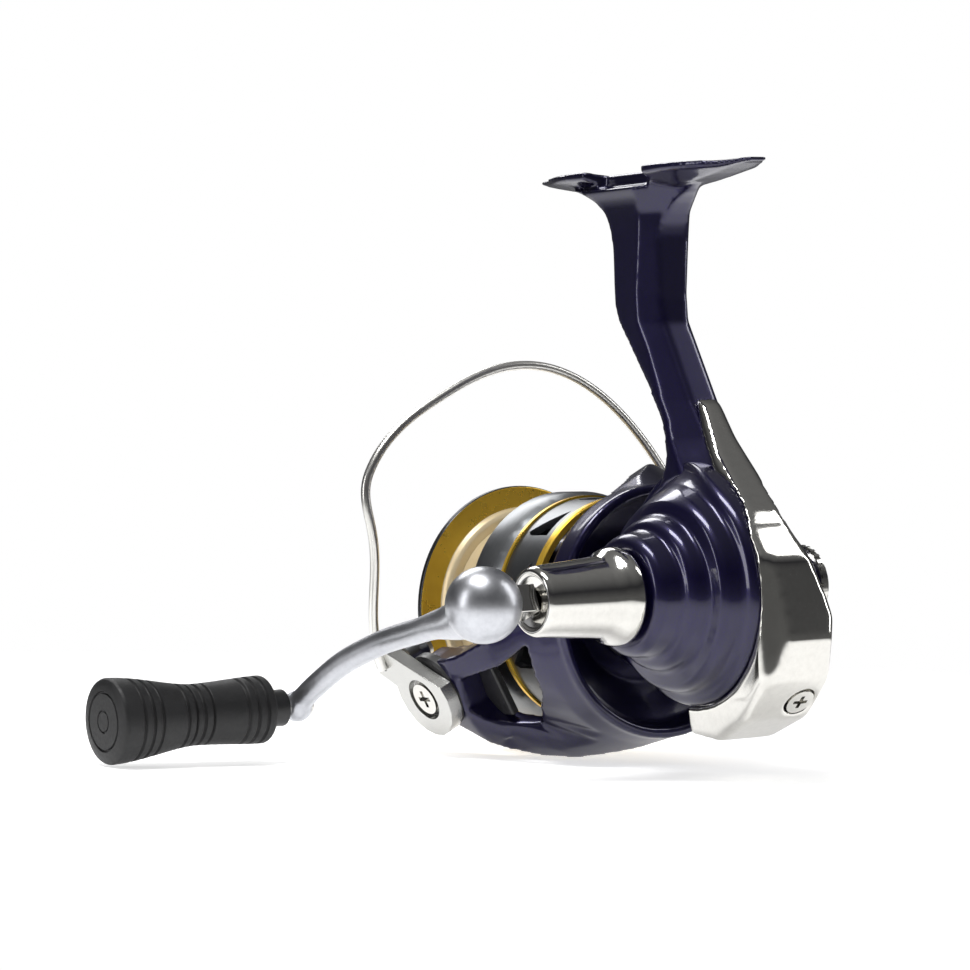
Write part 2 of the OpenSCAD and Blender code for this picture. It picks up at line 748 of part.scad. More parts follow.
module slider() {
    color(grey) on_axis() difference() {
        translate([osc_x - slider_w / 2, slider_y0, slider_z0])
            cube([slider_w, slider_y1 - slider_y0, slider_z1 - slider_z0]);
        rod_x(shaft_x0, 10, shaft_r);
        translate([0, 0.2, guide_z]) rod_x(osc_x - 10, osc_x + 10, guide_r + run);
        translate([osc_x - osc_pin_r - 0.1, slider_y0 - 1, slider_z0 - 1])
            cube([2 * osc_pin_r + 0.2, 2, slider_z1 - slider_z0 + 2]);
    }
}

module slider_plate() {
    color(steel) on_axis() translate([osc_x - slider_w / 2 - 0.8, slider_y0 + 0.4, -2.6])
        difference() {
            cube([0.8, slider_y1 - slider_y0 - 0.6, 4]);
            translate([-1, -slider_y0 - 0.4, 2.6]) rotate([0, 90, 0]) cylinder(h = 4, r = shaft_r + 0.02);
        }
}

module click_wheel() {
    color(grey) on_axis() difference() {
        rotate([0, 90, 0]) translate([0, 0, spool_hub_x0 - 2.4]) linear_extrude(1.6)
            toothed(24, 5.4, 6, 1, 0.5);
        rod_x(0, 40, shaft_r);
    }
}

// ---------- rotor ----------

// Outline of one arm: [along the spool axis, across], drawn through the arm's radial direction
arm_outline = concat(
    [[0.4, -21.5], [6, -21.5]],
    bezier([14, -19.5], [22, -16], [27, -8], [bail_x + 2, -pivot_r], 6),
    [for (a = [-70:20:70]) [bail_x + pivot_r * cos(a), pivot_r * sin(a)]],
    [[bail_x - 2, 5.9], [22, 6.6], [12, 9.5], [6, 14], [0.4, 17]]
);
arm_window = [
    [7, -15.5], [15, -14], [21.5, -8.8], [24.2, -3.6], [23, 2.2], [14, 3.4], [7, 6.5], [5.8, -4]
];

module arm_blank() {
    intersection() {
        difference() {
            rotate([0, 90, 0]) rotate_extrude() polygon([
                [rotor_r, 0.4], [rotor_r + 1.1, 4], [27.6, 14], [arm_out, bail_x - 6.4], [arm_out, bail_x + 9],
                [arm_in, bail_x + 9], [arm_in, bail_x - 6], [24, 14], [21.4, 5.4], [20.4, 0.4]
            ]);
            slab_radial(arm_window);
        }
        slab_radial(arm_outline);
    }
}

// Extrudes an [x, across] outline along +Y, the arm's radial direction
module slab_radial(points) {
    rotate([-90, 0, 0]) linear_extrude(50) polygon([for (p = points) [p[0], -p[1]]]);
}

module at_arm(side) {
    rotate([-bail_turn + (side > 0 ? 0 : 180), 0, 0]) children();
}

module rotor() {
    color(navy) on_axis() difference() {
        union() {
            lathe_x([
                [rotor_x, 20.9], [rotor_x, rotor_r - 0.4], [rotor_x + 0.5, rotor_r], [3.6, rotor_r - 0.3],
                [5.2, 21.4], [5.4, rotor_in_r], [rotor_in_x, rotor_in_r], [rotor_in_x, 16.4],
                [hub_x1, 16.4], [hub_x1, 0], [hub_x0, 0], [hub_x0, 12.5], [4.6, 16.2], [1.6, 19.6]
            ]);
            for (side = [1, -1]) at_arm(side) difference() {
                arm_blank();
                // pocket for the bail spring, closed by the arm cover
                translate([bail_x - 5, arm_in + 1.4, -3.4]) cube([8.5, arm_out, 6.8]);
            }
            for (side = [1, -1]) at_arm(side) translate([bail_x, arm_in, 0]) rotate([-90, 0, 0])
                cylinder(h = arm_out - arm_in, r = 2.6);
        }
        rod_x(-10, 30, pinion_journal_r + 0.02);
        for (side = [1, -1]) at_arm(side) translate([bail_x, arm_in - 1, 0]) rotate([-90, 0, 0])
            cylinder(h = 12, r = 1.3);
    }
}

module pinion_gear() {
    color(brass) on_axis() difference() {
        union() {
            rod_x(pinion_back, pinion_back + 5, pinion_bore_r);
            rotate([0, 90, 0]) translate([0, 0, handle_x + gear_in - 0.6]) linear_extrude(tooth_len + 1.2)
                rotate(90) toothed(pinion_teeth, pinion_bore_r, pinion_r + 0.7, 1.5, 0.6);
            rod_x(handle_x + gear_out + 0.6 - eps, nut_x1 + 0.8, pinion_journal_r);
        }
        rod_x(-30, 30, shaft_r + 0.1);
    }
}

module clutch_sleeve() {
    color(steel) on_axis() tube_x(clutch_x0 + 0.4, hub_x0, 4.6, pinion_journal_r + 0.02);
}

module rotor_nut() {
    color(brass) on_axis() difference() {
        rotate([0, 90, 0]) translate([0, 0, hub_x1]) cylinder(h = nut_x1 - hub_x1, r = 6, $fn = 6);
        rod_x(0, 30, pinion_journal_r + 0.02);
    }
}

module nut_lock() {
    color(steel) on_axis() difference() {
        union() {
            tube_x(nut_x1, nut_x1 + 0.8, 6.2, pinion_journal_r + 0.1);
            translate([nut_x1, 5, -1.6]) cube([0.8, 9, 3.2]);
            translate([hub_x1, 10.6, -1.6]) cube([nut_x1 - hub_x1 + 0.4, 3.4, 3.2]);
        }
        rod_x(0, 30, pinion_journal_r + 0.1);
    }
}

module arm_covers() {
    color(black) on_axis() for (side = [1, -1]) at_arm(side) difference() {
        translate([bail_x - 4.9, arm_out - 1.1, -3.3]) cube([8.3, 1, 6.6]);
        translate([bail_x, arm_in, 0]) rotate([-90, 0, 0]) cylinder(h = 12, r = 2.7);
    }
}

function helix(r, pitch, turns, per, x0) = [
    for (i = [0:turns * per]) let (a = 360 * i / per) [x0 + pitch * i / per, r * cos(a), r * sin(a)]
];

// A round wire swept along points
module wire(points, r, sides) {
    n = len(points);
    dirs = [for (i = [0:n - 1]) let (d = points[min(i + 1, n - 1)] - points[max(i - 1, 0)]) d / norm(d)];
    side_a = [for (d = dirs) let (v = cross(d, [0.31, 0.42, -0.85])) v / norm(v)];
    rings = [for (i = [0:n - 1]) for (k = [0:sides - 1])
        points[i] + r * (cos(360 * k / sides) * side_a[i] + sin(360 * k / sides) * cross(dirs[i], side_a[i]))];
    walls = [for (i = [0:n - 2]) for (k = [0:sides - 1]) [
        i * sides + k, i * sides + (k + 1) % sides, (i + 1) * sides + (k + 1) % sides, (i + 1) * sides + k
    ]];
    polyhedron(rings, concat(
        [[for (k = [sides - 1:-1:0]) k]], walls, [[for (k = [0:sides - 1]) (n - 1) * sides + k]]
    ));
}

module bail_spring() {
    color(steel) on_axis() at_arm(1) translate([bail_x, arm_in + 1.8, 0])
        rotate([0, 0, 90]) wire(helix(3, 0.65, 4, 16, 0), 0.2, 6);
}

// ---------- bail ----------

module lever_plate(with_tip) {
    translate([0, lever_in, 0]) rotate([-90, 0, 0]) linear_extrude(lever_t) polygon(concat(
        [for (a = [-200:20:20]) [bail_x + 6 * cos(a), -6 * sin(a)]],
        with_tip ? [for (a = [-20:20:130]) [bail_x + tip_x + 3.6 * cos(a), -(tip_e + 3.6 * sin(a))]]
            : [for (a = [40:20:140]) [bail_x + 6 * cos(a), -6 * sin(a)]]
    ));
}

module bail_arm() {
    color(chrome) on_axis() at_arm(1) difference() {
        lever_plate(true);
        translate([bail_x, lever_in - 1, 0]) rotate([-90, 0, 0]) cylinder(h = 6, r = 1.3);
        translate([bail_x, lever_in + 1.2, 0]) rotate([-90, 0, 0]) cylinder(h = 6, r = 3.2);
        translate([bail_x + tip_x, lever_in - 1, tip_e]) rotate([-90, 0, 0]) cylinder(h = 6, r = 1.1);
    }
}

module bail_lever() {
    color(chrome) on_axis() at_arm(-1) difference() {
        union() {
            translate([bail_x, lever_in, 0]) rotate([-90, 0, 0]) cylinder(h = lever_t, r = 6);
            translate([bail_x - 1.4, lever_in, -8.4]) cube([2.8, lever_t, 6]);
        }
        translate([bail_x, lever_in - 1, 0]) rotate([-90, 0, 0]) cylinder(h = 6, r = 1.3);
        translate([bail_x, lever_in + 1.2, 0]) rotate([-90, 0, 0]) cylinder(h = 6, r = 3.2);
    }
}

bail_power = 0.74;
function bail_point(f) =
    let (
        s = bail_half * (cos(f) < 0 ? -1 : 1) * pow(abs(cos(f)), bail_power),
        t = bail_deep * pow(sin(f), bail_power),
        ahead = tip_x * pow(max(0, cos(f)), 8)
    )
    [bail_x + t * cos(bail_lean) + ahead, s + 0.04 * t, t * sin(bail_lean)];

module bail_wire() {
    points = [for (i = [0:44]) bail_point(4 + 172 * (0.5 - 0.5 * cos(180 * i / 44)))];
    color(chrome) on_axis() rotate([-bail_turn, 0, 0]) wire(points, wire_d / 2, 8);
}

module bail_screws() {
    color(chrome) on_axis() for (side = [1, -1]) at_arm(side)
        translate([bail_x, lever_in + 1.25, 0]) rotate([-90, 0, 0]) screw(1.2, 6, 3, 1.2);
}

module roller_screw() {
    color(chrome) on_axis() at_arm(1) translate([bail_x + tip_x, 0, tip_e]) rotate([-90, 0, 0]) {
        translate([0, 0, lever_in - roller_len - 0.6]) cylinder(h = roller_len + lever_t + 0.4, r = 1.1);
        translate([0, 0, lever_in - roller_len - 1.4]) cylinder(h = 0.9, r = 2.4);
    }
}

module line_roller() {
    color(grey) on_axis() at_arm(1) translate([bail_x + tip_x, 0, tip_e]) rotate([-90, 0, 0]) difference() {
        rotate_extrude() polygon([
            [1.1 + run, lever_in - 0.2], [roller_r, lever_in - 0.2], [roller_r - 0.6, lever_in - 1.6],
            [roller_r - 0.6, lever_in - roller_len + 1.2], [roller_r, lever_in - roller_len - 0.2],
            [1.1 + run, lever_in - roller_len - 0.2]
        ]);
    }
}

// ---------- spool ----------

module spool() {
    color(grey) on_axis() difference() {
        union() {
            lathe_x([
                [skirt_x + 1.4, skirt_in], [skirt_x + 1.4, skirt_r - 1.1], [groove_x0 - 8.2, skirt_r - 1.1],
                [groove_x0 - 8.2, skirt_r - 1.2], [groove_x0 - 7.4, skirt_r - 1.2], [groove_x0 - 7.4, skirt_r - 0.9],
                [groove_x0 - 5.4, skirt_r], [groove_x0, skirt_r], [groove_x0 + 0.4, arbor_r],
                [lip_x - 3.6, arbor_r], [lip_x - 3.6, drag_r + 0.02], [drag_x0, drag_r + 0.02],
                [drag_x0, spool_bore_r], [spool_hub_x0, spool_bore_r], [spool_hub_x0, spool_hub_r],
                [drag_x0 - web_t, spool_hub_r], [drag_x0 - web_t, arbor_r - 1.5],
                [groove_x0 - web_t, arbor_r - 1.5], [groove_x0 - web_t, skirt_in]
            ]);
        }
        for (i = [0:9]) rotate([36 * i, 0, 0])
            slab_z(skirt_in - 2, skirt_r + 2, [[13.4, -3.4], [19.6, 2.8], [18.4, 3.6], [13.4, 3.6]]);
    }
}

module spool_lip() {
    color(gold) on_axis() lathe_x([
        [lip_x - 3.58, drag_r + 1], [lip_x - 3.58, 17.6], [lip_x - 2.4, 18.3], [lip_x - lip_t - 0.2, lip_r - 0.8],
        [lip_x - lip_t, lip_r], [lip_x - 0.5, lip_r], [lip_x, lip_r - 0.6], [lip_x - 0.8, 15.5], [lip_x - 0.8, drag_r + 1]
    ]);
}

module skirt_rings() {
    color(gold) on_axis() {
        lathe_x([
            [skirt_x, skirt_in + 0.1], [skirt_x, skirt_r - 1.3], [skirt_x + 0.3, skirt_r - 1],
            [skirt_x + 1.38, skirt_r - 1], [skirt_x + 1.38, skirt_in + 0.1]
        ]);
        tube_x(groove_x0 - 8.18, groove_x0 - 7.42, skirt_r - 0.7, skirt_r - 1.2);
    }
}

module drag_washers() {
    color(grey) on_axis() {
        for (i = [0:2]) tube_x(drag_x0 + 0.05 + 1.7 * i, drag_x0 + 0.85 + 1.7 * i, drag_r - 0.3, 4);
        for (i = [0:2]) tube_x(drag_x0 + 0.9 + 1.7 * i, drag_x0 + 1.7 + 1.7 * i, drag_r - 0.6, shaft_r + 0.4);
    }
}

module drag_retainer() {
    color(steel) on_axis() tube_x(drag_x0 + 5.3, drag_x0 + 5.9, drag_r + 0.01, drag_r - 1.6);
}

module line_clip() {
    color(gold) on_axis() rotate([150, 0, 0]) translate([24.2, 0, skirt_r - 0.3]) rotate([0, 0, 0]) {
        cylinder(h = 1, r = 1.7);
    }
}

// ---------- drag knob ----------

module drag_knob() {
    color(black) on_axis() difference() {
        union() {
            lathe_x([
                [drag_knob_x0 + 2.6, 3.4], [drag_knob_x0 + 2.6, drag_knob_r - 0.5], [drag_knob_x0 + 3.4, drag_knob_r],
                [drag_knob_x1 - 4, drag_knob_r - 1.4], [drag_knob_x1 - 2.4, drag_knob_r - 3],
                [drag_knob_x1 - 2, 0], [drag_knob_x1 - 3.6, 0], [drag_knob_x1 - 3.6, 3.4]
            ]);
            translate([drag_knob_x1 - 5.4, -drag_knob_r + 2, -2]) cube([5.4, 2 * drag_knob_r - 4, 4]);
        }
        rod_x(drag_knob_x0 - 1, shaft_x1 + 0.3, shaft_r + 0.04);
        rod_x(drag_knob_x0 - 1, drag_knob_x1 - 3.6, 3.4);
    }
}

module drag_nut() {
    color(brass) on_axis() difference() {
        rod_x(drag_knob_x1 - 9, drag_knob_x1 - 3.7, 3.38);
        rod_x(0, 80, shaft_r + 0.04);
    }
}

module drag_spring() {
    color(steel) on_axis() wire(helix(2.5, 1.2, 4, 12, drag_x0 + 6.4), 0.3, 6);
}

housing();
side_cover();
rear_cover();
cover_screws();
side_screw();
drive_bearing_left();
drive_bearing_right();
pinion_bearing();
pinion_bush();
clutch_body();
clutch_screws();
guide_rod();
drive_gear();
oscillation_pinion();
crank_shaft();
crank_sleeve();
sleeve_seal();
crank_arm();
fold_pin();
knob_post();
knob_washer();
knob_grip();
knob_cap();
knob_bushes();
handle_cap();
oscillation_gear();
main_shaft();
slider();
slider_plate();
click_wheel();
rotor();
pinion_gear();
clutch_sleeve();
rotor_nut();
nut_lock();
arm_covers();
bail_spring();
bail_arm();
bail_wire();
bail_lever();
bail_screws();
roller_screw();
line_roller();
spool();
spool_lip();
skirt_rings();
drag_washers();
drag_retainer();
line_clip();
drag_knob();
drag_nut();
drag_spring();
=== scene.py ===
import json
import math

import bmesh
import bpy
from mathutils import Matrix, Vector


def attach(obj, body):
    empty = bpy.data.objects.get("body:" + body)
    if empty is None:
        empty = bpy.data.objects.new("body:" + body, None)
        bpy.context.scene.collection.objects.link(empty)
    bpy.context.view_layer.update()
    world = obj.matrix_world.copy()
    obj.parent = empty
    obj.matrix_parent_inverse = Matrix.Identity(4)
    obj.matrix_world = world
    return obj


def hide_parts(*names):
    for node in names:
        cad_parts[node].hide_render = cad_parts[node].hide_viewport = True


MM = 0.001                   # the scene is in metres, the pieces' own numbers are in mm
DROP = -77.0                 # height of the main axis under the rod seat
TURN = math.radians(26)      # how far the rotor's arms stand turned round the main axis
WELD = 1e-6                  # points nearer than this, in metres, become one

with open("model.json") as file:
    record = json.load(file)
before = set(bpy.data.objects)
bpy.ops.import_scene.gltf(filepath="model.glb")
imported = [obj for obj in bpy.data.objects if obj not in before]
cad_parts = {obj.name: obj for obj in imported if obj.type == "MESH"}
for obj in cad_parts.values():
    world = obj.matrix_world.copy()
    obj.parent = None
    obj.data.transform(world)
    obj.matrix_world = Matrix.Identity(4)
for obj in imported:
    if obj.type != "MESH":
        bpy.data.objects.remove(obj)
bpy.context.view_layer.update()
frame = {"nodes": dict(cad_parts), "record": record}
NODES = frame["nodes"]


# ---------------------------------------------------------------- shader maths
class Sock:
    """A shader value that takes part in Python arithmetic."""

    def __init__(self, graph, out):
        self.graph = graph
        self.out = out

    def _math(self, kind, a, b):
        return self.graph.node("ShaderNodeMath", {"operation": kind}, {0: a, 1: b})

    def __add__(self, o): return self._math("ADD", self, o)
    def __radd__(self, o): return self._math("ADD", o, self)
    def __sub__(self, o): return self._math("SUBTRACT", self, o)
    def __rsub__(self, o): return self._math("SUBTRACT", o, self)
    def __mul__(self, o): return self._math("MULTIPLY", self, o)
    def __rmul__(self, o): return self._math("MULTIPLY", o, self)
    def min(self, o): return self._math("MINIMUM", self, o)
    def pow(self, o): return self._math("POWER", self, o)

    def ramp(self, low, high, out0=0.0, out1=1.0):
        return self.graph.node("ShaderNodeMapRange", {"interpolation_type": "SMOOTHSTEP"},
                               {0: self, 1: low, 2: high, 3: out0, 4: out1})


class Graph:
    """One material and the nodes in it. Patterns follow Object coordinates, in metres."""

    def __init__(self, name):
        self.mat = bpy.data.materials.new(name)
        self.mat.use_nodes = True
        self.tree = self.mat.node_tree
        self.bsdf = self.tree.nodes["Principled BSDF"]
        self.coord = self.node("ShaderNodeTexCoord", {}, {}, "Object")

    def node(self, kind, settings, inputs, output=0):
        n = self.tree.nodes.new(kind)
        for key, value in settings.items():
            setattr(n, key, value)
        for key, value in inputs.items():
            if isinstance(value, Sock):
                self.tree.links.new(value.out, n.inputs[key])
            else:
                n.inputs[key].default_value = value
        return Sock(self, n.outputs[output])

    def noise(self, scale, detail, rough, stretch=(1, 1, 1)):
        place = self.node("ShaderNodeMapping", {}, {"Vector": self.coord, "Scale": stretch})
        inputs = {"Vector": place, "Scale": scale, "Detail": detail, "Roughness": rough}
        return self.node("ShaderNodeTexNoise", {}, inputs)

    def mix(self, fac, a, b):
        return self.node("ShaderNodeMix", {"data_type": "RGBA"}, {0: fac, 6: a, 7: b}, 2)

    def axis(self, key):
        return self.node("ShaderNodeSeparateXYZ", {}, {0: self.coord}, key)

    def set(self, **values):
        for key, value in values.items():
            s = self.bsdf.inputs[key.replace("_", " ")]
            if isinstance(value, Sock):
                self.tree.links.new(value.out, s)
            else:
                s.default_value = value

    def bump(self, height, distance, strength):
        normal = self.node("ShaderNodeBump", {}, {"Strength": strength, "Distance": distance, "Height": height})
        self.set(Normal=normal)


def rgb(r, g, b):
    """A full, opaque colour."""
    return (r, g, b, 1.0)


def metal(name, colour, worn, rough, metallic=1.0, grain=(1, 1, 1), spread=0.06, depth=0.00001):
    """A metal finish: slow tone changes, fine grain along one direction, a little unevenness in the gloss."""
    g = Graph(name)
    slow = g.noise(38.0, 4.0, 0.6)
    hair = g.noise(900.0, 3.0, 0.65, grain)
    smudge = g.noise(95.0, 5.0, 0.7)
    tone = (slow.ramp(0.35, 0.7) * 0.55 + hair.ramp(0.3, 0.75) * 0.45).min(1.0)
    g.set(Base_Color=g.mix(tone, colour, worn), Metallic=metallic)
    g.set(Roughness=smudge.ramp(0.35, 0.75) * spread + hair * (spread * 0.6) + rough)
    g.bump(hair, depth, 0.6)
    return g.mat


def paint(name, deep, light):
    """Metallic paint under clear lacquer: fine flakes, faint orange peel, dust in the gloss."""
    g = Graph(name)
    flake = g.noise(5200.0, 2.0, 0.7)
    cloud = g.noise(30.0, 3.0, 0.5)
    peel = g.noise(420.0, 2.0, 0.5)
    dust = g.noise(150.0, 6.0, 0.75)
    tone = (flake.ramp(0.42, 0.72) * 0.7 + cloud.ramp(0.3, 0.7) * 0.3).min(1.0)
    g.set(Base_Color=g.mix(tone, deep, light), Metallic=0.55 + flake.ramp(0.5, 0.7) * 0.3)
    g.set(Roughness=0.26 + dust.ramp(0.5, 0.8) * 0.1 + flake * 0.06)
    g.set(Coat_Weight=0.6 - dust.ramp(0.55, 0.85) * 0.15, Coat_Roughness=0.05)
    g.bump(peel * 0.6 + flake * 0.1, 0.00002, 0.5)
    return g.mat


def plastic(name, deep, light, rough, scale=700.0, depth=0.00003):
    """Moulded plastic or rubber: a fine texture in the surface and slight changes of tone."""
    g = Graph(name)
    grain = g.noise(scale, 4.0, 0.6)
    cloud = g.noise(60.0, 4.0, 0.6)
    g.set(Base_Color=g.mix(cloud.ramp(0.3, 0.7) * 0.5 + grain.ramp(0.4, 0.7) * 0.5, deep, light))
    g.set(Roughness=rough + grain.ramp(0.3, 0.7) * 0.1 + cloud * 0.08, Metallic=0.0)
    g.bump(grain, depth, 0.7)
    return g.mat


MATS = {
    "navy": paint("navy_paint", rgb(0.003, 0.0025, 0.017), rgb(0.014, 0.009, 0.074)),
    "chrome": metal("bright_chrome", rgb(0.64, 0.63, 0.60), rgb(0.56, 0.55, 0.52), 0.06, spread=0.05, depth=0.000004),
    "steel": metal("steel", rgb(0.74, 0.73, 0.70), rgb(0.64, 0.63, 0.60), 0.26, grain=(1, 6, 6)),
    "brass": metal("brass", rgb(0.72, 0.52, 0.22), rgb(0.55, 0.38, 0.15), 0.28),
    "black": plastic("black_plastic", rgb(0.004, 0.004, 0.005), rgb(0.012, 0.012, 0.013), 0.33),
    "grey_plastic": plastic("grey_plastic", rgb(0.2, 0.2, 0.21), rgb(0.3, 0.3, 0.31), 0.45),
    "rubber": plastic("black_rubber", rgb(0.0025, 0.0025, 0.003), rgb(0.008, 0.008, 0.009), 0.48, 1500.0, 0.00006),
    "alloy": metal("satin_alloy", rgb(0.56, 0.57, 0.60), rgb(0.44, 0.45, 0.48), 0.3, spread=0.1),
    "grey": metal("grey_metal", rgb(0.24, 0.25, 0.26), rgb(0.18, 0.185, 0.195), 0.3, grain=(8, 1, 1)),
    "plate": metal("brushed_plate", rgb(0.52, 0.52, 0.50), rgb(0.46, 0.46, 0.45), 0.17, grain=(1, 1, 9), spread=0.08),
    "gold": metal("gold_alloy", rgb(0.95, 0.60, 0.07), rgb(0.90, 0.56, 0.06), 0.26, metallic=0.72, spread=0.03,
                  depth=0.000002),
    "ivory": metal("pale_arbor", rgb(0.80, 0.68, 0.46), rgb(0.74, 0.60, 0.36), 0.35, metallic=0.35, grain=(8, 1, 1)),
    "dark": metal("dark_rim", rgb(0.06, 0.06, 0.065), rgb(0.035, 0.035, 0.04), 0.25, metallic=0.9),
}

SLOT_MAT = {
    "navy_paint": "navy", "bright_chrome": "chrome", "steel": "steel", "brass": "brass", "black_plastic": "black",
    "grey_plastic": "grey_plastic", "black_rubber": "rubber", "satin_alloy": "alloy", "grey_metal": "grey",
    "gold_alloy": "gold",
}
for sub in frame["record"]["subparts"]:
    part = NODES[sub["node"]]
    part.data.materials.clear()
    part.data.materials.append(MATS[SLOT_MAT[sub["material_slot"]]])


# ---------------------------------------------------------------- making pieces
def piece(name, bm, mat, body, slot, *nodes, sharp=30, bevel=0.0):
    """Finishes a mesh: sound normals, crisp edges past an angle, an optional fine bevel, then its body; slot is not
    used.
    """
    bmesh.ops.remove_doubles(bm, verts=bm.verts, dist=WELD)
    bmesh.ops.recalc_face_normals(bm, faces=bm.faces)
    for f in bm.faces:
        f.smooth = True
    for e in bm.edges:
        e.smooth = len(e.link_faces) == 2 and e.calc_face_angle(0) < math.radians(sharp)
    mesh = bpy.data.meshes.new(name)
    bm.to_mesh(mesh)
    bm.free()
    obj = bpy.data.objects.new(name, mesh)
    bpy.context.scene.collection.objects.link(obj)
    for m in mat if isinstance(mat, list) else [mat]:
        mesh.materials.append(MATS[m])
    if bevel:
        mod = obj.modifiers.new("edges", "BEVEL")
        mod.width = bevel * MM
        mod.segments = 2
        mod.limit_method = "ANGLE"
        mod.angle_limit = math.radians(sharp)
        mod.harden_normals = True
    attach(obj, body)
    if nodes:
        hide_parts(*nodes)
    return obj


def cast(node, name, mat, body, slot, sharp=28, bevel=0.3, flat=1.5, shape=None):
    """A copy of a CAD node with its facets joined, its curves shaded smooth and its edges broken.

    Faces that meet at less than flat degrees become one. shape, where given, is a function that reshapes the copy.
    """
    bm = bmesh.new()
    bm.from_mesh(NODES[node].data)
    bmesh.ops.remove_doubles(bm, verts=bm.verts, dist=WELD)
    bmesh.ops.dissolve_limit(bm, angle_limit=math.radians(flat), verts=bm.verts, edges=bm.edges)
    if shape:
        shape(bm)
    return piece(name, bm, mat, body, slot, node, sharp=sharp, bevel=bevel)


def melt(obj, voxel, rounds, strength=0.6):
    """Closes a piece into one skin of voxel-sized facets and lets its edges flow together, as a casting's do."""
    skin = obj.modifiers.new("skin", "REMESH")
    skin.mode = "VOXEL"
    skin.voxel_size = voxel * MM
    skin.use_smooth_shade = True
    relax = obj.modifiers.new("relax", "SMOOTH")
    relax.factor = strength
    relax.iterations = rounds


def turned(name, profile, axis, place, mat, body, slot, *nodes, steps=96, sharp=30, bands=(), closed=False):
    """A turned piece: (along, radius) points in mm spun round an axis.

    bands lists faces that have another finish, each as (from, to, inner radius, outer radius, number of the finish).
    """
    ahead = Vector(axis).normalized()
    side = ahead.orthogonal().normalized()
    base = Vector(place)
    bm = bmesh.new()
    row = [bm.verts.new((base + ahead * a + side * r) * MM) for a, r in profile]
    pairs = list(zip(row, row[1:])) + ([(row[-1], row[0])] if closed else [])
    edges = [bm.edges.new(p) for p in pairs]
    bmesh.ops.spin(bm, geom=row + edges, cent=base * MM, axis=ahead, angle=2 * math.pi, steps=steps, use_merge=True)
    bmesh.ops.remove_doubles(bm, verts=bm.verts, dist=WELD)
    for low, high, rmin, rmax, index in bands:
        for f in bm.faces:
            mid = f.calc_center_median() / MM - base
            along = mid.dot(ahead)
            if low <= along <= high and rmin <= (mid - ahead * along).length <= rmax:
                f.material_index = index
    return piece(name, bm, mat, body, slot, *nodes, sharp=sharp)


def soften(points, r, steps=4):
    """Rounds the corners between the ends of an open outline, each with a curve that starts about r before it."""
    out = [Vector(points[0])]
    for p, q, s in zip(points, points[1:], points[2:]):
        p, q, s = Vector(p), Vector(q), Vector(s)
        cut = min(r, (p - q).length * 0.45, (s - q).length * 0.45)
        a = q + (p - q).normalized() * cut
        b = q + (s - q).normalized() * cut
        for i in range(steps + 1):
            t = i / steps
            out.append(a * (1 - t) ** 2 + q * (2 * t * (1 - t)) + b * t * t)
    out.append(Vector(points[-1]))
    return out


def smooth_path(points, count):
    """Points at even steps along a smooth curve that passes through the given ones."""
    pts = [Vector(p) for p in points]
    pts = [pts[0] * 2 - pts[1]] + pts + [pts[-1] * 2 - pts[-2]]
    out = []
    spans = len(pts) - 3
    for i in range(count + 1):
        u = min(i / count * spans, spans - 1e-6)
        k, t = int(u), u - int(u)
        a, b, c, d = pts[k:k + 4]
        bend, twist = 2 * a - 5 * b + 4 * c - d, 3 * b - a - 3 * c + d
        out.append(0.5 * (2 * b + (c - a) * t + bend * t * t + twist * t ** 3))
    return out


def swept(bm, path, radii, up, sides):
    """Bridges rings along a path in mm and closes both ends. radii is one (across, along up) pair for each point."""
    rings = []
    for i, p in enumerate(path):
        ahead = (path[min(i + 1, len(path) - 1)] - path[max(i - 1, 0)]).normalized()
        side = Vector(up).cross(ahead).normalized()
        top = ahead.cross(side)
        a, b = radii[i]
        ring = bmesh.ops.create_circle(bm, segments=sides, radius=1.0)["verts"]
        for v in ring:
            v.co = (p + side * (v.co.x * a) + top * (v.co.y * b)) * MM
        rings.append(ring)
    loops = []
    for ring in rings:
        inside = set(ring)
        loops.append([e for e in {e for v in ring for e in v.link_edges} if set(e.verts) <= inside])
    for one, two in zip(loops, loops[1:]):
        bmesh.ops.bridge_loops(bm, edges=one + two)
    for loop in (loops[0], loops[-1]):
        bmesh.ops.holes_fill(bm, edges=loop, sides=sides)


def on_arm(x, y, z, side=1):
    """A point in mm along the rotor arm's own directions, moved to the arm's place. side is -1 for the far arm."""
    c, s = math.cos(TURN), math.sin(TURN)
    y, z = y * side, z * side
    return Vector((x, y * c + z * s, -y * s + z * c + DROP))


def off_arm(co, side=1):
    """The reverse of on_arm, from a mesh point in metres."""
    c, s = math.cos(TURN), math.sin(TURN)
    x, y, z = co / MM
    z -= DROP
    return x, (y * c - z * s) * side, (y * s + z * c) * side


# ---------------------------------------------------------------- casting, side cover and rear cover
CRANK_X, CRANK_RISE = -22, 4.2      # the crank's axis: its place along the reel, its height over the main axis
CRANK = Vector((CRANK_X, 0, CRANK_RISE + DROP))
AXIS = Vector((0, 0, DROP))

outline = [(v.co.x / MM, v.co.z / MM) for v in NODES["housing"].data.vertices]
FOOT_TOP = max(z for x, z in outline)
foot_x = [x for x, z in outline if z > FOOT_TOP - 3]
FOOT_MID = (min(foot_x) + max(foot_x)) / 2


